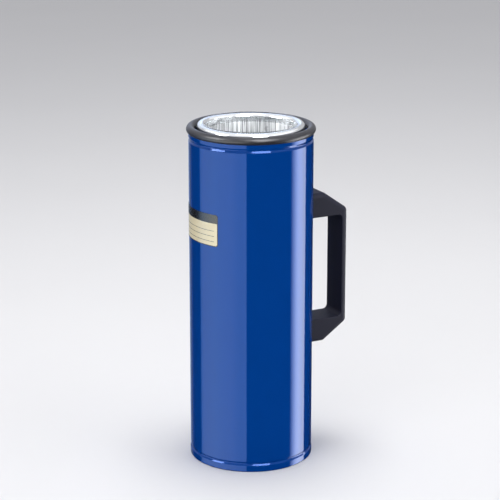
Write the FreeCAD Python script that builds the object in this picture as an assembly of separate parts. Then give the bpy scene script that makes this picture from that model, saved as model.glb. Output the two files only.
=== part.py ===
import FreeCAD, Part
import math
import os

# A dewar flask with a side grip: a double-walled glass vessel that stands in a sheet-metal casing.
# Lengths are in millimetres. +Z runs up the flask's axis, z = 0 is the plane the foot stands on,
# and the grip is on the +X side.

# Glass vessel
bore_diameter = 100.0
glass_wall = 2.5
vacuum_gap = 5.5
lip_rise = 2.7              # how far the lip stands above the rim ring
tip_length = 12.0           # sealed pump-out tip under the rounded bottom
tip_diameter = 8.0
tip_flare = 4.0             # radius where the tip runs into the bottom
tip_bore_diameter = 3.2
tip_seal_thickness = 4.0    # solid glass at the tip's end
tip_clearance = 3.0         # air under the tip

# Casing
side_room = 8.0             # between the glass and the casing
casing_wall = 1.0
casing_height = 381.0
groove_depth = 1.3
groove_half_height = 2.4
groove_round = 1.6          # at each bend of both grooves
top_groove_drop = 11.2      # from the casing's top edge to the groove
foot_groove_height = 9.8
foot_groove_depth = 1.1     # below the wall
foot_groove_half_height = 2.3
foot_swell = 0.3            # the foot band is larger than the wall by this much
foot_corner_round = 1.6
foot_flange_width = 7.0     # turned in under the base plate

# Rim ring
ring_overhang = 2.4         # how far it stands out past the casing
ring_glass_gap = 2.2
ring_grip_depth = 5.4       # how deep the casing's edge sits in it

# Base plate, cushion and packing
plate_thickness = 1.0
plate_rise = 3.0            # the pressed-up middle
plate_step_width = 4.0
plate_gutter_width = 6.0
plate_bend_round = 1.5
plate_step_round = 0.8
cushion_height = 32.0
cushion_hole_diameter = 30.0
packing_height = 14.0
packing_chamfer = 2.0

# Grip
handle_centre_height = 212.3
handle_height = 176.0
handle_width = 35.0
handle_standoff = 45.8      # from the casing to the grip's outer face
grip_thickness = 7.4
finger_opening_height = 120.6
arm_flat_length = 16.3      # the level part of each arm's outer side
arm_end_depth = 7.0         # plastic above the finger opening where the slope meets the outer face
outline_round = 6.5
opening_round = 5.5
outer_edge_round = 5.6
inner_edge_round = 1.2

# Grip fixings
screw_diameter = 6.0
screw_length = 13.0
screw_head_diameter = 10.5
screw_head_height = 2.8
screw_head_round = 0.8
key_width = 4.0
key_depth = 1.7
insert_diameter = 9.0
insert_length = 13.0
insert_groove_depth = 0.8
insert_groove_width = 3.0
backing_width = 22.0
backing_height = 26.0
backing_thickness = 1.5
backing_corner_round = 2.0

# Clearances
seat_gap = 0.3              # soft pieces against glass and metal
metal_gap = 0.1             # metal against metal
paint_gap = 0.2             # the grip against the casing
mould_gap = 0.05            # plastic round its inserts
hole_clearance = 0.3        # round a screw's shank, on the radius
thread_clearance = 0.05     # between a screw's shank and its insert, on the radius

# Sizes that follow
inner_radius = bore_diameter / 2
inner_back_radius = inner_radius + glass_wall
outer_back_radius = inner_back_radius + vacuum_gap
glass_radius = outer_back_radius + glass_wall
casing_inner_radius = glass_radius + side_room
casing_radius = casing_inner_radius + casing_wall
lip_radius = (glass_radius - inner_radius) / 2

ring_section_radius = (side_room + casing_wall + ring_overhang - ring_glass_gap) / 2
ring_centre_radius = casing_radius + ring_overhang - ring_section_radius
ring_centre_height = casing_height - ring_grip_depth + ring_section_radius

plate_top = casing_wall + plate_thickness + plate_rise
tip_bottom = plate_top + tip_clearance
dome_centre_height = tip_bottom + tip_length + glass_radius
lip_centre_height = ring_centre_height + ring_section_radius + lip_rise - lip_radius

top_groove_height = casing_height - top_groove_drop
foot_radius = casing_radius + foot_swell

handle_outer_reach = casing_radius + handle_standoff
handle_inner_reach = handle_outer_reach - grip_thickness
arm_middle = (handle_height + finger_opening_height) / 4
screw_heights = [handle_centre_height - arm_middle, handle_centre_height + arm_middle]
insert_start = casing_radius + seat_gap
backing_outer_radius = casing_inner_radius - metal_gap
backing_inner_radius = backing_outer_radius - backing_thickness
head_seat = backing_inner_radius + metal_gap

TOUCHING = 1e-6
ORIGIN = FreeCAD.Vector(0, 0, 0)
UP = FreeCAD.Vector(0, 0, 1)
OUT = FreeCAD.Vector(1, 0, 0)


def at(radius, height):
    """A point of a section, in the plane through the axis and the grip."""
    return FreeCAD.Vector(radius, 0, height)


def line(start, end):
    return Part.LineSegment(start, end).toShape()


def arc_about(centre, radius, start_degrees, end_degrees):
    """An arc of a section, between two angles counted from +X towards +Z."""
    angles = [start_degrees, (start_degrees + end_degrees) / 2, end_degrees]
    points = [
        centre + at(radius * math.cos(math.radians(a)), radius * math.sin(math.radians(a))) for a in angles
    ]
    return Part.Arc(*points).toShape()


def rounded_path(corners):
    """Edges through corners (radius, height, rounding); the first and last corner are the path's ends."""
    edges = []
    start = at(*corners[0][:2])
    for before, corner, after in zip(corners, corners[1:], corners[2:]):
        point = at(*corner[:2])
        back = (at(*before[:2]) - point).normalize()
        ahead = (at(*after[:2]) - point).normalize()
        half_angle = back.getAngle(ahead) / 2
        reach = corner[2] / math.tan(half_angle)
        middle = point + (back + ahead).normalize() * (corner[2] / math.sin(half_angle) - corner[2])
        arc = Part.Arc(point + back * reach, middle, point + ahead * reach).toShape()
        edges += [line(start, point + back * reach), arc]
        start = point + ahead * reach
    return edges + [line(start, at(*corners[-1][:2]))]


def turned(edges):
    """The solid that a closed section makes round the flask's axis."""
    return Part.Face(Part.Wire(edges)).revolve(ORIGIN, UP, 360)


def sheet_metal(corners, thickness):
    """A turned sheet whose outer side follows the corners, with its thickness towards the axis."""
    outer = Part.Wire(rounded_path(corners))
    return outer.makeOffset2D(-thickness, fill=True, openResult=True).revolve(ORIGIN, UP, 360)


def ring_band(inner, outer, bottom, top):
    """A plain turned ring between two radii and two heights."""
    return Part.makeCylinder(outer, top - bottom, at(0, bottom)).cut(
        Part.makeCylinder(inner, top - bottom, at(0, bottom))
    )


def cross_hole(radius, start, length, height):
    """A round bar along +X, which starts at a distance from the axis."""
    return Part.makeCylinder(radius, length, at(start, height), OUT)


def domed_bottom(dome_radius, nipple_radius, flare, end_height):
    """Edges from the axis round a nipple's end and its flare, and up the dome to the straight wall."""
    centre = at(0, dome_centre_height)
    reach = dome_radius + flare
    flare_centre_radius = nipple_radius + flare
    sweep = math.degrees(math.acos(flare_centre_radius / reach))
    flare_centre = at(flare_centre_radius, dome_centre_height - reach * math.sin(math.radians(sweep)))
    end_centre = at(0, end_height + nipple_radius)
    return [
        arc_about(end_centre, nipple_radius, -90, 0),
        line(at(nipple_radius, end_centre.z), at(nipple_radius, flare_centre.z)),
        arc_about(flare_centre, flare, 180, 180 - sweep),
        arc_about(centre, dome_radius, -sweep, 0),
    ]


def vessel_section(outer_radius, inner_radius, nipple_radius, flare, end_height):
    """A closed section between two domed walls that join over the lip."""
    lip_centre = at((outer_radius + inner_radius) / 2, lip_centre_height)
    return [
        *domed_bottom(outer_radius, nipple_radius, flare, end_height),
        line(at(outer_radius, dome_centre_height), at(outer_radius, lip_centre_height)),
        arc_about(lip_centre, (outer_radius - inner_radius) / 2, 0, 180),
        line(at(inner_radius, lip_centre_height), at(inner_radius, dome_centre_height)),
        arc_about(at(0, dome_centre_height), inner_radius, 0, -90),
        line(at(0, dome_centre_height - inner_radius), at(0, end_height)),
    ]


def make_glass_flask():
    """One blown piece: an inner and an outer wall, fused at the lip, with a closed space between them."""
    body = turned(vessel_section(glass_radius, inner_radius, tip_diameter / 2, tip_flare, tip_bottom))
    sealed_end = tip_bottom + tip_seal_thickness
    closed_space = turned(
        vessel_section(outer_back_radius, inner_back_radius, tip_bore_diameter / 2, tip_flare, sealed_end)
    )
    return body.cut(closed_space)


def make_outer_casing():
    """A lacquered tube with a rolled groove near each end and its foot turned in, drilled for the grip."""
    casing = sheet_metal(
        [
            (casing_radius, casing_height),
            (casing_radius, top_groove_height + groove_half_height, groove_round),
            (casing_radius - groove_depth, top_groove_height, groove_round),
            (casing_radius, top_groove_height - groove_half_height, groove_round),
            (casing_radius, foot_groove_height + foot_groove_half_height, groove_round),
            (casing_radius - foot_groove_depth, foot_groove_height, groove_round),
            (foot_radius, foot_groove_height - foot_groove_half_height, groove_round),
            (foot_radius, 0, foot_corner_round),
            (foot_radius - foot_flange_width, 0),
        ],
        casing_wall,
    )
    for height in screw_heights:
        hole_radius = screw_diameter / 2 + hole_clearance
        casing = casing.cut(cross_hole(hole_radius, glass_radius, insert_start - glass_radius, height))
    return casing


def make_base_plate():
    """A pressed disc: a rim turned up inside the foot, a gutter, and a raised middle for the cushion."""
    rim_radius = foot_radius - casing_wall - seat_gap
    rim_top = foot_groove_height - foot_groove_half_height - seat_gap
    step_radius = rim_radius - plate_gutter_width
    return sheet_metal(
        [
            (rim_radius, rim_top),
            (rim_radius, casing_wall, plate_bend_round),
            (step_radius, casing_wall, plate_step_round),
            (step_radius - plate_step_width, plate_top - plate_thickness, plate_bend_round),
            (0, plate_top - plate_thickness),
        ],
        plate_thickness,
    )


def make_base_cushion():
    """A soft ring inside the plate's rim, with a dished seat for the glass and room for its tip."""
    outer = foot_radius - casing_wall - seat_gap - plate_thickness - seat_gap
    cushion = ring_band(cushion_hole_diameter / 2, outer, plate_top, plate_top + cushion_height)
    return cushion.cut(Part.makeSphere(glass_radius + seat_gap, at(0, dome_centre_height)))


def make_neck_packing():
    """A soft ring that centres the glass, kept down by the groove above it."""
    top = top_groove_height - groove_half_height - seat_gap
    packing = ring_band(glass_radius + seat_gap, casing_inner_radius - seat_gap, top - packing_height, top)
    inner_rims = [
        edge for edge in packing.Edges
        if edge.Curve.TypeId == "Part::GeomCircle" and edge.Curve.Radius < glass_radius + side_room / 2
    ]
    return packing.makeChamfer(packing_chamfer, inner_rims)


def make_rim_ring():
    """A rubber ring of round section, slit from below so that it grips the casing's edge."""
    ring = Part.makeTorus(ring_centre_radius, ring_section_radius, at(0, ring_centre_height))
    slit_bottom = ring_centre_height - ring_section_radius - metal_gap
    slit = ring_band(
        casing_inner_radius - metal_gap, casing_radius + metal_gap, slit_bottom, casing_height + metal_gap
    )
    return ring.cut(slit)


def insert_blank(height, growth=0.0):
    """The outside of a threaded bush with a keying groove round its middle, grown by a clearance."""
    radius = insert_diameter / 2 + growth
    blank = cross_hole(radius, insert_start - growth, insert_length + 2 * growth, height)
    groove_start = insert_start + (insert_length - insert_groove_width) / 2 + growth
    groove_length = insert_groove_width - 2 * growth
    groove = cross_hole(radius, groove_start, groove_length, height).cut(
        cross_hole(radius - insert_groove_depth, groove_start, groove_length, height)
    )
    return blank.cut(groove)


def make_handle():
    """A moulded bridge grip: deep arms that slope to a thin bar, with a saddle that fits the casing."""
    half_height = handle_height / 2
    half_opening = finger_opening_height / 2
    slope_height = half_opening + arm_end_depth
    root = casing_radius - handle_width / 2
    flat_end = casing_radius + arm_flat_length
    outline = [
        (root, half_height),
        (flat_end, half_height, outline_round),
        (handle_outer_reach, slope_height, outline_round),
        (handle_outer_reach, -slope_height, outline_round),
        (flat_end, -half_height, outline_round),
        (root, -half_height),
    ]
    opening = [
        (root, -half_opening),
        (handle_inner_reach, -half_opening, opening_round),
        (handle_inner_reach, half_opening, opening_round),
        (root, half_opening),
    ]
    edges = rounded_path(outline) + rounded_path(opening)
    edges.append(line(at(root, -half_height), at(root, -half_opening)))
    edges.append(line(at(root, half_opening), at(root, half_height)))
    profile = Part.Face(Part.Wire(Part.__sortEdges__(edges)))
    profile.translate(FreeCAD.Vector(0, -handle_width / 2, handle_centre_height))
    grip = profile.extrude(FreeCAD.Vector(0, handle_width, 0))

    def side_edges(wanted):
        return [
            edge for edge in grip.Edges
            if abs(abs(edge.CenterOfMass.y) - handle_width / 2) < TOUCHING
            and edge.CenterOfMass.x > root + TOUCHING
            and wanted(edge)
        ]

    def rims_opening(edge):
        inside = handle_inner_reach + TOUCHING
        level = abs(edge.CenterOfMass.z - handle_centre_height)
        return edge.CenterOfMass.x < inside and level < half_opening + TOUCHING

    grip = grip.makeFillet(outer_edge_round, side_edges(lambda edge: not rims_opening(edge)))
    grip = grip.makeFillet(inner_edge_round, side_edges(rims_opening))
    grip = grip.cut(Part.makeCylinder(casing_radius + paint_gap, casing_height))
    mouth_radius = insert_diameter / 2 + mould_gap
    for height in screw_heights:
        mouth = cross_hole(mouth_radius, casing_radius, insert_start - casing_radius, height)
        grip = grip.cut(insert_blank(height, mould_gap)).cut(mouth)
    return grip


def make_handle_inserts():
    """Two brass bushes moulded into the grip's arms; their fine thread is left plain."""
    bore_radius = screw_diameter / 2 + thread_clearance
    inserts = []
    for z in screw_heights:
        inserts.append(insert_blank(z).cut(cross_hole(bore_radius, insert_start, insert_length, z)))
    return Part.Compound(inserts)


def make_handle_screws():
    """Two low-headed hexagon-key screws, put in from inside the casing."""
    screws = []
    for z in screw_heights:
        head_start = head_seat - screw_head_height
        head = cross_hole(screw_head_diameter / 2, head_start, screw_head_height, z)
        front_rim = [edge for edge in head.Edges if edge.BoundBox.XMax < head_start + TOUCHING]
        head = head.makeFillet(screw_head_round, front_rim)
        corners = []
        for step in range(7):
            turn = math.radians(60 * step)
            corner = FreeCAD.Vector(0, math.cos(turn), math.sin(turn)) * (key_width / math.sqrt(3))
            corners.append(at(head_start, z) + corner)
        key_hole = Part.Face(Part.makePolygon(corners)).extrude(OUT * key_depth)
        shank = cross_hole(screw_diameter / 2, head_seat, screw_length, z)
        screws.append(head.cut(key_hole).fuse(shank).removeSplitter())
    return Part.Compound(screws)


def make_handle_backing_plates():
    """Two plates curved to the casing's inside, each with a flat seat for its screw's head."""
    plates = []
    for z in screw_heights:
        low = z - backing_height / 2
        plate = ring_band(backing_inner_radius, backing_outer_radius, low, low + backing_height)
        blank = Part.makeBox(
            backing_outer_radius, backing_width, backing_height, FreeCAD.Vector(0, -backing_width / 2, low)
        )
        long_edges = [edge for edge in blank.Edges if edge.BoundBox.XLength > backing_width]
        blank = blank.makeFillet(backing_corner_round, long_edges)
        plate = plate.common(blank)
        plate = plate.cut(cross_hole(screw_head_diameter / 2 + hole_clearance, 0, head_seat, z))
        plates.append(plate.cut(cross_hole(screw_diameter / 2 + hole_clearance, 0, casing_radius, z)))
    return Part.Compound(plates)


PIECES = {
    "glass_flask": make_glass_flask,
    "outer_casing": make_outer_casing,
    "base_plate": make_base_plate,
    "base_cushion": make_base_cushion,
    "neck_packing": make_neck_packing,
    "rim_ring": make_rim_ring,
    "handle": make_handle,
    "handle_inserts": make_handle_inserts,
    "handle_screws": make_handle_screws,
    "handle_backing_plates": make_handle_backing_plates,
}

os.makedirs("parts", exist_ok=True)
for name, make in PIECES.items():
    shape = make()
    shape.exportStep(f"parts/{name}.step")
    print(name, len(shape.Solids), "solids", round(shape.Volume / 1000, 2), "cm3", shape.isValid())
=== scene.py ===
import math

import bpy
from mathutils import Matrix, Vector


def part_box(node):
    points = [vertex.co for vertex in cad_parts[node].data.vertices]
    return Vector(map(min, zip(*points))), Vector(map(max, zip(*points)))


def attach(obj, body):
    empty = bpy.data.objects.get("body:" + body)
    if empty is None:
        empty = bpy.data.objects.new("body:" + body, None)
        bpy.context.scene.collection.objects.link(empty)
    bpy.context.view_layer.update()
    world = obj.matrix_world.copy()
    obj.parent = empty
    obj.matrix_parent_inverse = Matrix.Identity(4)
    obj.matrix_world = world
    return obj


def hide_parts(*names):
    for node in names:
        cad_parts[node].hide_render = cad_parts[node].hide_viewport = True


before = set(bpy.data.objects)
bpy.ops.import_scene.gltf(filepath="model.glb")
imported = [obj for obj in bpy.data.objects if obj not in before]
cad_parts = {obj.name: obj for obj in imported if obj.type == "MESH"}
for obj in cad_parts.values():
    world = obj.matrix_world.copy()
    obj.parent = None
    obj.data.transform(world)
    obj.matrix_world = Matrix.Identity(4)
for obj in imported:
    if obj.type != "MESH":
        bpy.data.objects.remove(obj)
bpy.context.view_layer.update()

# The camera stands where the photograph was taken from: in front and a little to the left, so that
# the grip is on the right, and high enough to look into the mouth. Distances are in metres.
view_azimuth = -27.0
camera_distance = 2.085
camera_height = 0.8301
camera_pitch = 15.797
picture_width = 500
focal_length_pixels = 1924.6
axis_pixel = 251.0
sensor_width = 36.0


def towards(azimuth):
    """The level direction at an azimuth from the camera's side, to the right if it is positive."""
    turn = math.radians(view_azimuth + azimuth)
    return Vector((math.sin(turn), -math.cos(turn), 0))


bpy.ops.object.camera_add(location=towards(0) * camera_distance + Vector((0, 0, camera_height)))
camera = bpy.context.object
aim_offset = math.atan((axis_pixel - picture_width / 2) / focal_length_pixels)
camera.rotation_euler = (math.radians(90 - camera_pitch), 0, math.radians(view_azimuth) + aim_offset)
camera.data.sensor_width = sensor_width
camera.data.lens = sensor_width * focal_length_pixels / picture_width
bpy.context.scene.camera = camera
bpy.context.scene.view_settings.view_transform = "Standard"

# The casing is a tube of sheet steel with a rolled groove near each end, sprayed with deep blue
# gloss lacquer. The lacquer has a faint orange peel, and the sheet under it is not quite even.


class Number:
    """A value from a node. Sums and products with it add Math nodes to its look."""

    def __init__(self, look, socket):
        self.look = look
        self.socket = socket

    def math(self, operation, *values):
        return self.look.add("ShaderNodeMath", {"operation": operation}, dict(enumerate(values)))

    def __add__(self, other):
        return self.math("ADD", self, other)

    def __radd__(self, other):
        return self.math("ADD", other, self)

    def __mul__(self, other):
        return self.math("MULTIPLY", self, other)

    def __rmul__(self, other):
        return self.math("MULTIPLY", other, self)


class Look:
    """The shader nodes of a material, a lamp or the world."""

    def __init__(self, owner):
        owner.use_nodes = True
        self.tree = owner.node_tree

    def set(self, node, inputs):
        """Gives a node's sockets their values, and links those that another node feeds."""
        for key, value in inputs.items():
            if isinstance(value, Number):
                self.tree.links.new(value.socket, node.inputs[key])
            else:
                node.inputs[key].default_value = value

    def add(self, kind, settings=None, inputs=None, output=0):
        """A new node of a kind: first its settings, then its sockets. One of its outputs comes back."""
        node = self.tree.nodes.new(kind)
        for key, value in (settings or {}).items():
            if key == "stops":
                ramp = node.color_ramp
                while len(ramp.elements) < len(value):
                    ramp.elements.new(1)
                for element, (position, colour) in zip(ramp.elements, value):
                    element.position = position
                    element.color = colour
            else:
                setattr(node, key, value)
        self.set(node, inputs or {})
        return Number(self, node.outputs[output])

    def blend(self, factor, first, second):
        """A colour between two others. The factor, both colours and the result go by their places."""
        return self.add("ShaderNodeMix", {"data_type": "RGBA"}, {0: factor, 6: first, 7: second}, 2)

    def between(self, value, start, end):
        """How far a value has come from a start to an end, from 0 to 1."""
        return self.add("ShaderNodeMapRange", inputs={"Value": value, "From Min": start, "From Max": end})


class Finish(Look):
    """A procedural finish, laid in the object's own coordinates."""

    def __init__(self, name, settings):
        self.material = bpy.data.materials.new(name)
        super().__init__(self.material)
        self.shader = self.tree.nodes["Principled BSDF"]
        self.place = self.add("ShaderNodeTexCoord", output="Object")
        self.set(self.shader, settings)

    def noise(self, scale, detail=2.0, roughness=0.5, place=None):
        inputs = {"Vector": place or self.place, "Scale": scale, "Detail": detail, "Roughness": roughness}
        return self.add("ShaderNodeTexNoise", inputs=inputs, output="Fac")

    def streaked(self, x, y, z, detail=2.0, roughness=0.5):
        """A noise with a scale of its own along each axis, so that its grains are drawn out."""
        place = self.add("ShaderNodeMapping", inputs={"Vector": self.place, "Scale": (x, y, z)})
        return self.noise(1, detail, roughness, place)

    def bump(self, height, distance, strength=1.0, under=None):
        """A relief as deep as its distance in metres, laid over another one if that is given."""
        inputs = {"Height": height, "Distance": distance, "Strength": strength}
        if under:
            inputs["Normal"] = under
        return self.add("ShaderNodeBump", inputs=inputs, output="Normal")

    def surface(self, **inputs):
        """Sets the shader's sockets by their names, written small and with underscores."""
        self.set(self.shader, {key.replace("_", " ").title(): value for key, value in inputs.items()})

    def on(self, piece):
        """Gives a piece this finish alone."""
        piece.data.materials.clear()
        piece.data.materials.append(self.material)


lacquer_tint = (0.25, 0.42, 1.0, 1.0)
lacquer_deep = (0.0004, 0.044, 0.250, 1.0)
lacquer_light = (0.0005, 0.048, 0.266, 1.0)
lacquer = Finish("blue_lacquer", {"Specular Tint": lacquer_tint, "IOR": 1.5})
lacquer_peel = lacquer.bump(lacquer.noise(scale=420, detail=1.0), distance=0.000004)
sheet_waves = lacquer.streaked(28, 28, 9, detail=1.0)
lacquer.surface(
    base_color=lacquer.blend(lacquer.noise(scale=30, detail=3.0), lacquer_deep, lacquer_light),
    roughness=0.045 + 0.02 * lacquer.noise(scale=160),
    normal=lacquer.bump(sheet_waves, distance=0.00006, under=lacquer_peel),
)
lacquer.on(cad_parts["outer_casing"])

# The base plate is a pressed disc of rolled aluminium that closes the foot. It is pushed in from
# below as far as the rolled groove, and the casing's edge is then turned in under it.
aluminium_dull = (0.60, 0.61, 0.63, 1.0)
aluminium_bright = (0.78, 0.79, 0.80, 1.0)
rolled_aluminium = Finish("bare_aluminium", {"Metallic": 1.0})
rolling_marks = rolled_aluminium.streaked(30, 900, 30, detail=4.0, roughness=0.6)
rolled_aluminium.surface(
    base_color=rolled_aluminium.blend(rolling_marks, aluminium_dull, aluminium_bright),
    roughness=0.28 + 0.2 * rolling_marks,
    normal=rolled_aluminium.bump(rolling_marks, distance=0.00001),
)
rolled_aluminium.on(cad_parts["base_plate"])

# The grip is one moulding of black plastic in the form of a bridge, with a seat at each end that is
# hollowed to the casing. It is matt from the fine grain that its mould gives it.
plastic_clean = (0.0035, 0.0040, 0.0160, 1.0)
plastic_handled = (0.0050, 0.0056, 0.0200, 1.0)
plastic = Finish("black_plastic", {"IOR": 1.3})
moulded_grain = plastic.noise(scale=3200, roughness=0.6)
handling = plastic.noise(scale=45, detail=3.0)
plastic.surface(
    base_color=plastic.blend(handling, plastic_clean, plastic_handled),
    roughness=0.58 + 0.12 * handling,
    normal=plastic.bump(moulded_grain, distance=0.00003, strength=0.6),
)
plastic.on(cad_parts["handle"])

# The grip is held by two zinc-plated cap screws, from inside the casing, in brass inserts that are
# moulded into its arms. A curved steel plate spreads the load of each screw's head.
brass_dull = (0.72, 0.55, 0.24, 1.0)
brass_bright = (0.86, 0.69, 0.36, 1.0)
brass = Finish("brass", {"Metallic": 1.0})
turning_marks = brass.streaked(2600, 60, 60)
brass.surface(
    base_color=brass.blend(turning_marks, brass_dull, brass_bright),
    roughness=0.26 + 0.14 * turning_marks,
    normal=brass.bump(turning_marks, distance=0.00001),
)
brass.on(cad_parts["handle_inserts"])

zinc_dull = (0.52, 0.53, 0.56, 1.0)
zinc_bright = (0.72, 0.73, 0.74, 1.0)
zinc = Finish("zinc_steel", {"Metallic": 1.0})
zinc_bloom = zinc.noise(scale=180, detail=4.0, roughness=0.65)
zinc.surface(
    base_color=zinc.blend(zinc_bloom, zinc_dull, zinc_bright),
    roughness=0.30 + 0.2 * zinc_bloom,
    normal=zinc.bump(zinc_bloom, distance=0.00001),
)
for node in ("handle_screws", "handle_backing_plates"):
    zinc.on(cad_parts[node])

# The vessel is one blown piece of clear borosilicate glass: two walls, fused over the lip. It is
# silvered on the side of the closed space, so its lip shows a bright band inside clear glass.
glass_low, glass_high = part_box("glass_flask")
glass_radius = glass_high.x
bore_radius = 0.050
glass_wall = 0.0025
tip_length = 0.012
tip_radius = 0.004
tip_bore_radius = 0.0016
tip_seal = 0.004
tip_flare = 0.004
lip_radius = (glass_radius - bore_radius) / 2
lip_height = glass_high.z - lip_radius
dome_height = glass_low.z + tip_length + glass_radius
tip_steps = 8
dome_steps = 28
wall_steps = 8
lip_steps = 32
turn_steps = 192
seed_size = 0.001
merge_distance = 0.000001
smooth_below = 50


def line(start, end, count):
    """Points along a straight part of a section, without its last point."""
    reach, climb = end[0] - start[0], end[1] - start[1]
    return [(start[0] + reach * k / count, start[1] + climb * k / count) for k in range(count)]


def arc(centre, radius, start, end, count):
    """Points along an arc of a section, between two angles in degrees, without its last point."""
    turns = [math.radians(start + (end - start) * k / count) for k in range(count)]
    return [(centre[0] + radius * math.cos(turn), centre[1] + radius * math.sin(turn)) for turn in turns]


def vessel_section(outer, inner, nipple, end_height):
    """The closed section between two domed walls: from the tip, over the lip, to the inner bottom."""
    reach = outer + tip_flare
    flare_radius = nipple + tip_flare
    sweep = math.degrees(math.acos(flare_radius / reach))
    flare_centre = (flare_radius, dome_height - reach * math.sin(math.radians(sweep)))
    points = [(0, end_height)]
    points += arc((0, end_height + nipple), nipple, -90, 0, tip_steps)[1:]
    points += [(nipple, end_height + nipple)]
    points += arc(flare_centre, tip_flare, 180, 180 - sweep, tip_steps)
    points += arc((0, dome_height), outer, -sweep, 0, dome_steps)
    points += line((outer, dome_height), (outer, lip_height), wall_steps)
    points += arc(((outer + inner) / 2, lip_height), (outer - inner) / 2, 0, 180, lip_steps)
    points += line((inner, lip_height), (inner, dome_height), wall_steps)
    points += arc((0, dome_height), inner, 0, -90, dome_steps)
    return points + [(0, dome_height - inner)]


def turned_piece(name, section):
    """A piece spun round the flask's axis from a section of (radius, height) points."""
    bpy.ops.object.select_all(action="DESELECT")
    bpy.ops.mesh.primitive_plane_add(size=seed_size, location=(section[0][0], 0, section[0][1]))
    piece = bpy.context.object
    piece.name = name
    bpy.ops.object.transform_apply(location=True)
    bpy.ops.object.mode_set(mode="EDIT")
    bpy.ops.mesh.merge(type="CENTER")
    for start, end in zip(section, section[1:]):
        step = (end[0] - start[0], 0, end[1] - start[1])
        bpy.ops.mesh.extrude_vertices_move(TRANSFORM_OT_translate={"value": step})
    bpy.ops.mesh.select_all(action="SELECT")
    bpy.ops.mesh.spin(steps=turn_steps, angle=2 * math.pi, center=(0, 0, 0), axis=(0, 0, 1))
    bpy.ops.mesh.select_all(action="SELECT")
    bpy.ops.mesh.remove_doubles(threshold=merge_distance)
    bpy.ops.mesh.normals_make_consistent(inside=False)
    bpy.ops.object.mode_set(mode="OBJECT")
    bpy.ops.object.shade_smooth_by_angle(angle=math.radians(smooth_below))
    return piece


glass_section = vessel_section(glass_radius, bore_radius, tip_radius, glass_low.z)
glass_body = turned_piece("glass_body", glass_section)
glass_pale_blue = (0.95, 0.975, 0.99, 1.0)
glass_clearest = (0.97, 0.985, 1.0, 1.0)
glass_shade = (0.96, 0.98, 0.99, 1.0)
clear_glass = Finish("clear_glass", {"Transmission Weight": 1.0, "Roughness": 0.0, "IOR": 1.47})
drawn_waves = clear_glass.streaked(120, 120, 14, detail=1.0)
clear_glass.surface(
    base_color=clear_glass.blend(drawn_waves, glass_pale_blue, glass_clearest),
    normal=clear_glass.bump(drawn_waves, distance=0.000005),
)
in_shadow = clear_glass.add("ShaderNodeLightPath", output="Is Shadow Ray")
full_glass = Number(clear_glass, clear_glass.shader.outputs["BSDF"])
lets_light_by = clear_glass.add("ShaderNodeBsdfTransparent", inputs={"Color": glass_shade}, output="BSDF")
glass_shown = clear_glass.add("ShaderNodeMixShader", inputs={0: in_shadow, 1: full_glass, 2: lets_light_by})
clear_glass.set(clear_glass.tree.nodes["Material Output"], {"Surface": glass_shown})
clear_glass.on(glass_body)
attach(glass_body, "root")

silver_section = vessel_section(
    glass_radius - glass_wall, bore_radius + glass_wall, tip_bore_radius, glass_low.z + tip_seal
)
silvering = turned_piece("silvering", silver_section)
lip_band_end = lip_height - 0.001
full_streaks_start = lip_height - 0.006
# The dark streaks and blots in the silvering's colour are painted reflection: they stand in for the darker
# reflections down the bore. The relief under them is real.
lip_silver = (0.93, 0.935, 0.94, 1.0)
wall_silver = (0.97, 0.97, 0.97, 1.0)
streak_painted_reflection = (0.24, 0.24, 0.25, 1.0)
blot_painted_reflection = (0.25, 0.25, 0.26, 1.0)
silver = Finish("silvering", {"Metallic": 1.0})
fine_streaks = silver.streaked(1000, 1000, 14, roughness=0.6)
broad_streaks = silver.streaked(210, 210, 14, roughness=0.6)
blotches = silver.streaked(150, 150, 110)
wall_height = silver.add("ShaderNodeSeparateXYZ", inputs={"Vector": silver.place}, output="Z")
down_the_wall = silver.between(wall_height, lip_band_end, full_streaks_start)
streaks = silver.between(0.7 * fine_streaks + 0.3 * broad_streaks, start=0.42, end=0.54)
blots = silver.between(blotches, start=0.66, end=0.72)
# The two greys are painted reflection, laid into the silver's colour of the wall below the lip.
wall_with_painted_reflections = silver.blend(0.6 * blots, silver.blend(streaks, streak_painted_reflection, wall_silver), blot_painted_reflection)
blotch_relief = silver.bump(blotches, distance=0.0001, strength=down_the_wall)
silver.surface(
    base_color=silver.blend(down_the_wall, lip_silver, wall_with_painted_reflections),
    roughness=0.06 + 0.24 * down_the_wall,
    normal=silver.bump(streaks, distance=0.00006, strength=down_the_wall, under=blotch_relief),
)
silver.on(silvering)
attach(silvering, "root")
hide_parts("glass_flask")

# The vessel sits on a thick ring of pressed wool felt, dished to the glass, with a hole for its tip.
# A second felt ring, packed in under the top groove, keeps its neck in the middle.
felt_dark = (0.17, 0.16, 0.15, 1.0)
felt_light = (0.46, 0.45, 0.42, 1.0)
felt = Finish("pressed_felt", {"Sheen Weight": 0.4, "Sheen Roughness": 0.5})
felt_fibres = felt.noise(scale=1400, detail=5.0, roughness=0.7)
felt_clumps = felt.noise(scale=130, detail=4.0, roughness=0.6)
clump_relief = felt.bump(felt_clumps, distance=0.0012)
felt.surface(
    base_color=felt.blend(0.5 * felt_fibres + 0.5 * felt_clumps, felt_dark, felt_light),
    roughness=0.85 + 0.1 * felt_fibres,
    normal=felt.bump(felt_fibres, distance=0.0004, under=clump_relief),
)


def pressed_ring(name, section, lump_size, lump_height, node):
    """A felt ring with soft lumps, spun from a closed section."""
    ring = turned_piece(name, section)
    lumps = bpy.data.textures.new(name + "_lumps", "CLOUDS")
    lumps.noise_scale = lump_size
    ring.modifiers.new("lumps", "DISPLACE")
    ring.modifiers["lumps"].texture = lumps
    ring.modifiers["lumps"].strength = lump_height
    bpy.ops.object.modifier_apply(modifier="lumps")
    felt.on(ring)
    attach(ring, "root")
    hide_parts(node)
    return ring


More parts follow.
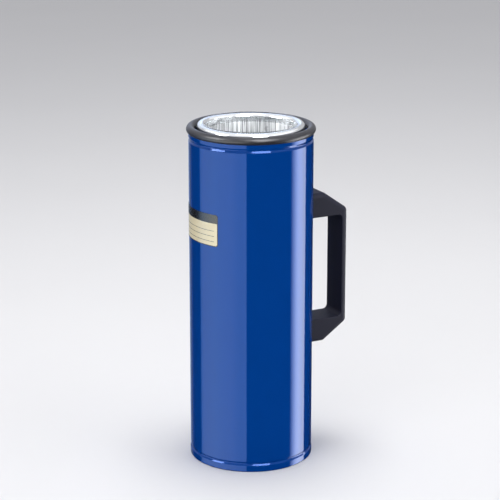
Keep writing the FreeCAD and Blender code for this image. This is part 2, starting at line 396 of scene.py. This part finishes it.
# The cushion's dish stops a few degrees short of its brim and of its hole, because felt can't hold
# a sharp edge there.
felt_round = 0.0025
felt_gap = 0.0003
cushion_low, cushion_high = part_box("base_cushion")
cushion_hole = 0.015
brim_width = 0.003
brim_ease = 2
hole_ease = 1
hole_round = 0.0022
foot_steps = 12
corner_steps = 5
side_steps = 8
brim_steps = 6
dish_steps = 20
hole_steps = 12
cushion_edge = cushion_high.x - felt_round
cushion_bottom = cushion_low.z + felt_round
cushion_top = cushion_high.z - felt_round
dish_radius = glass_radius + felt_gap
hole_sweep = math.degrees(math.asin(cushion_hole / dish_radius))
brim_sweep = math.degrees(math.acos((dome_height - cushion_high.z) / dish_radius))
brim = (dish_radius * math.sin(math.radians(brim_sweep)) + brim_width, cushion_high.z)
hole_height = dome_height - dish_radius * math.cos(math.radians(hole_sweep)) - hole_round
dish_start = brim_sweep - brim_ease - 90
dish_end = hole_sweep + hole_ease - 90
cushion_section = line((cushion_hole, cushion_low.z), (cushion_edge, cushion_low.z), foot_steps)
cushion_section += arc((cushion_edge, cushion_bottom), felt_round, -90, 0, corner_steps)
cushion_section += line((cushion_high.x, cushion_bottom), (cushion_high.x, cushion_top), side_steps)
cushion_section += arc((cushion_edge, cushion_top), felt_round, 0, 90, corner_steps)
cushion_section += line((cushion_edge, cushion_high.z), brim, brim_steps) + [brim]
cushion_section += arc((0, dome_height), dish_radius, dish_start, dish_end, dish_steps)
cushion_section += line((cushion_hole, hole_height), (cushion_hole, cushion_low.z), hole_steps)
cushion_section += cushion_section[:1]
felt_cushion = pressed_ring(
    "felt_cushion", cushion_section, lump_size=0.012, lump_height=0.0004, node="base_cushion"
)

packing_low, packing_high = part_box("neck_packing")
packing_steps = 6
packing_inner = glass_radius + felt_gap + felt_round
packing_outer = packing_high.x - felt_round
packing_bottom = packing_low.z + felt_round
packing_top = packing_high.z - felt_round
packing_start = (packing_inner, packing_low.z)
packing_section = [packing_start]
packing_section += arc((packing_outer, packing_bottom), felt_round, -90, 0, packing_steps)
packing_section += arc((packing_outer, packing_top), felt_round, 0, 90, packing_steps)
packing_section += arc((packing_inner, packing_top), felt_round, 90, 180, packing_steps)
packing_section += arc((packing_inner, packing_bottom), felt_round, 180, 270, packing_steps)
packing_section += [packing_start]
felt_packing = pressed_ring(
    "felt_packing", packing_section, lump_size=0.008, lump_height=0.0003, node="neck_packing"
)

# The rim ring is black rubber of round section, slit from below and pushed over the casing's edge.
# Moulding leaves it satin, with a fine grain that greys where it catches the light.
rubber_black = (0.016, 0.016, 0.022, 1.0)
rubber_greyed = (0.026, 0.026, 0.034, 1.0)
rubber = Finish("black_rubber", {"IOR": 1.45})
rubber_grain = rubber.noise(scale=2600, detail=3.0, roughness=0.6)
rubber_dust = rubber.noise(scale=70, detail=4.0, roughness=0.6)
rubber.surface(
    base_color=rubber.blend(rubber_dust, rubber_black, rubber_greyed),
    roughness=0.34 + 0.10 * rubber_dust,
    normal=rubber.bump(rubber_grain, distance=0.00002, strength=0.6),
)
rubber.on(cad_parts["rim_ring"])

# The label is a thin printed plate, curved to the casing and glued on opposite the grip. It has a
# cream field with ruled lines under a black heading strip, inside a black border, and says nothing.
casing_radius = 0.0695
label_width = 0.077
label_height = 0.036
label_middle = 0.278
label_thickness = 0.0003
label_corner = 0.003
label_corner_steps = 6
label_columns = 48
label_glue = 0.00005
label_border = 0.0009
heading_height = 0.010
rule_thickness = 0.0005
rule_heights = (-0.0125, -0.0065, -0.0005)
rule_inset = 0.005
edge_smooth_below = 30
half_width = label_width / 2
half_height = label_height / 2
bpy.ops.object.select_all(action="DESELECT")
bpy.ops.mesh.primitive_plane_add(size=1, rotation=(math.radians(90), 0, 0))
label = bpy.context.object
label.name = "label_plate"
label.scale = (label_width, label_height, 1)
bpy.ops.object.transform_apply(rotation=True, scale=True)
bpy.ops.object.mode_set(mode="EDIT")
bpy.ops.mesh.select_all(action="SELECT")
bpy.ops.mesh.bevel(affect="VERTICES", offset=label_corner, segments=label_corner_steps)
bpy.ops.mesh.select_all(action="SELECT")
bpy.ops.mesh.inset(thickness=label_border)
level_cuts = [half_height - heading_height]
for rule in rule_heights:
    level_cuts += [rule - rule_thickness / 2, rule + rule_thickness / 2]
upright_cuts = [rule_inset - half_width, half_width - rule_inset]
upright_cuts += [label_width * (k / label_columns - 0.5) for k in range(1, label_columns)]
for cut in level_cuts:
    bpy.ops.mesh.select_all(action="SELECT")
    bpy.ops.mesh.bisect(plane_co=(0, 0, cut), plane_no=(0, 0, 1))
for cut in upright_cuts:
    bpy.ops.mesh.select_all(action="SELECT")
    bpy.ops.mesh.bisect(plane_co=(cut, 0, 0), plane_no=(1, 0, 0))
bpy.ops.object.mode_set(mode="OBJECT")


def printed(name, deep, light, roughness):
    """A printing ink with a faint mottle."""
    ink = Finish(name, {"IOR": 1.5})
    mottle = ink.noise(scale=600)
    ink.surface(base_color=ink.blend(mottle, deep, light), roughness=roughness + 0.1 * mottle)
    return ink


cream_deep = (0.70, 0.62, 0.41, 1.0)
cream_light = (0.78, 0.70, 0.48, 1.0)
black_deep = (0.006, 0.006, 0.008, 1.0)
black_light = (0.012, 0.012, 0.014, 1.0)
cream_print = printed("cream_print", cream_deep, cream_light, roughness=0.25)
black_print = printed("black_print", black_deep, black_light, roughness=0.22)
cream_print.on(label)
label.data.materials.append(black_print.material)
for face in label.data.polygons:
    across, up = abs(face.center.x), face.center.z
    past_side = max(across - half_width + label_corner, 0)
    past_end = max(abs(up) - half_height + label_corner, 0)
    in_corner = math.hypot(past_side, past_end) > label_corner - label_border
    in_border = across > half_width - label_border or abs(up) > half_height - label_border
    in_heading = up > half_height - heading_height
    on_rule = any(abs(up - rule) < rule_thickness / 2 for rule in rule_heights)
    if in_border or in_corner or in_heading or (on_rule and across < half_width - rule_inset):
        face.material_index = 1
label_reach = casing_radius + label_glue
label.modifiers.new("curve", "SIMPLE_DEFORM")
label.modifiers["curve"].deform_method = "BEND"
label.modifiers["curve"].deform_axis = "Z"
label.modifiers["curve"].angle = label_width / label_reach
label.modifiers.new("sheet", "SOLIDIFY")
label.modifiers["sheet"].thickness = label_thickness
label.modifiers["sheet"].offset = 1
bpy.ops.object.modifier_apply(modifier="curve")
bpy.ops.object.modifier_apply(modifier="sheet")
label.rotation_euler.z = math.radians(-90)
label.location = (-label_reach, 0, label_middle)
bpy.ops.object.transform_apply()
bpy.ops.object.shade_smooth_by_angle(angle=math.radians(edge_smooth_below))
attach(label, "root")

# The flask stands on a plain pale floor of matt board. The floor stays out of reflections, so that
# the casing mirrors the low panels and the dark between them.
floor_size = 400.0
floor_shade = (0.72, 0.72, 0.73, 1.0)
floor_light = (0.74, 0.74, 0.75, 1.0)
bpy.ops.object.select_all(action="DESELECT")
bpy.ops.mesh.primitive_plane_add(size=floor_size)
floor = bpy.context.object
floor.name = "floor"
board = Finish("floor", {"Roughness": 0.9, "Specular IOR Level": 0.0})
board.surface(base_color=board.blend(board.noise(scale=3), floor_shade, floor_light))
board.on(floor)
floor.visible_glossy = False

# The light is that of a small studio with soft boxes, made of cloth over a frame. Those that the
# shiny surfaces mirror stand apart from the three that light the matt ones.


def softbox(name, azimuth, distance, height, size, radiance, aim_height, fade=None, mirrored_only=True):
    """A rectangular lamp that stands at an azimuth from the camera's side and faces the flask.

    Its fade lists its colours across its width, from its left end to its right one. A lamp either
    shows in shiny surfaces alone, or lights matt ones alone.
    """
    bpy.ops.object.light_add(type="AREA", location=towards(azimuth) * distance + Vector((0, 0, height)))
    lamp = bpy.context.object
    lamp.name = name
    lamp.data.shape = "RECTANGLE"
    lamp.data.size, lamp.data.size_y = size
    lamp.data.energy = radiance * math.pi * size[0] * size[1]
    facing = Vector((0, 0, aim_height)) - lamp.location
    lamp.rotation_euler = facing.to_track_quat("-Z", "Y").to_euler()
    lamp.visible_camera = False
    lamp.visible_diffuse = not mirrored_only
    lamp.visible_glossy = mirrored_only
    lamp.visible_transmission = mirrored_only
    if fade:
        glow = Look(lamp.data)
        place = glow.add("ShaderNodeNewGeometry", output="Parametric")
        across = glow.add("ShaderNodeSeparateXYZ", inputs={0: place}, output="X")
        shade = glow.add("ShaderNodeValToRGB", {"stops": fade}, {0: across})
        glow.set(glow.tree.nodes["Emission"], {"Color": shade})
    return lamp


def grey(level):
    """An even grey, for a stop of a lamp's fade."""
    return (level, level, level, 1)


# Two low panels, one on each side, are the broad band and the narrow one down the casing. The dark
# between them is the room under the floor's level. A weak glow from behind pales the left edge.
panel_fade = [
    (0, (0.11, 0.22, 0.36, 1)), (0.14, (0.32, 0.41, 0.55, 1)), (0.30, (0.54, 0.62, 0.67, 1)),
    (0.42, (0.77, 0.84, 0.81, 1)), (0.56, (0.92, 0.90, 0.84, 1)), (0.66, (0.95, 0.91, 0.85, 1)),
    (0.82, (0.76, 0.79, 0.75, 1)), (1, (0.76, 0.79, 0.75, 1)),
]
strip_fade = [
    (0.05, grey(0)), (0.18, grey(0.42)), (0.3, grey(0.77)), (0.42, grey(1)),
    (0.55, grey(0.95)), (0.8, grey(0.6)), (1, grey(0.42)),
]
glow_fade = [(0, (0.55, 0.7, 1.0, 1)), (1, grey(0))]
softbox("left_panel", azimuth=-57.5, distance=1.2, height=-0.4, size=(2.81, 1.4), radiance=4.6,
        aim_height=-0.4, fade=panel_fade)
softbox("right_strip", azimuth=96.5, distance=1.2, height=-0.35, size=(0.96, 1.3), radiance=10.0,
        aim_height=-0.35, fade=strip_fade)
softbox("back_glow", azimuth=-160, distance=2.0, height=0.2, size=(1.8, 2.6), radiance=1.0,
        aim_height=0.2, fade=glow_fade)

# Boxes over the mouth and high on both sides show in the lip, the silvering and the grip, and make
# the glints on the rim ring, the grooves and the foot.
softbox("overhead", azimuth=0, distance=0.01, height=1.9, size=(4.6, 4.6), radiance=0.42, aim_height=0.0)
softbox("top_light", azimuth=180, distance=0.1, height=2.3, size=(0.9, 0.9), radiance=4.0, aim_height=0.0)
softbox("left_wall", azimuth=-97, distance=1.5, height=1.4, size=(1.6, 0.9), radiance=0.5, aim_height=0.6)
softbox("right_wall", azimuth=84, distance=1.5, height=1.4, size=(1.9, 0.9), radiance=0.5, aim_height=0.6)
softbox("high_right", azimuth=21.5, distance=1.7, height=1.35, size=(1.07, 1.4), radiance=17.0,
        aim_height=0.2)
softbox("high_left", azimuth=-68, distance=1.7, height=1.15, size=(0.75, 0.9), radiance=19.0,
        aim_height=0.2)

# A key from above and two broad fills light the floor and the matt pieces, and nothing mirrors them.
fill_spread = 150
softbox("key", azimuth=180, distance=0.15, height=2.2, size=(0.85, 0.85), radiance=12.5, aim_height=0.0,
        mirrored_only=False)
for name, azimuth, radiance in (("front_fill", -25, 1.55), ("side_fill", 75, 1.15)):
    fill = softbox(name, azimuth, distance=2.4, height=1.4, size=(2.4, 1.2), radiance=radiance,
                   aim_height=0.2, mirrored_only=False)
    fill.data.spread = math.radians(fill_spread)

# The room is an even pale grey down to the floor. Below it all is nearly black, and only surfaces
# that mirror what lies under the floor's level see that.
room_pale = (0.55, 0.55, 0.57, 1.0)
room_dark = (0.012, 0.014, 0.02, 1.0)
dark_below = -0.10
pale_above = -0.05
world = bpy.data.worlds.new("studio")
bpy.context.scene.world = world
room = Look(world)
direction = room.add("ShaderNodeTexCoord", output="Generated")
climb = room.add("ShaderNodeSeparateXYZ", inputs={0: direction}, output="Z")
above_floor = room.between(climb, dark_below, pale_above)
room.set(room.tree.nodes["Background"], {"Color": room.blend(above_floor, room_dark, room_pale)})
bpy.context.scene.cycles.max_bounces = 32
bpy.context.scene.cycles.glossy_bounces = 16
bpy.context.scene.cycles.transmission_bounces = 24
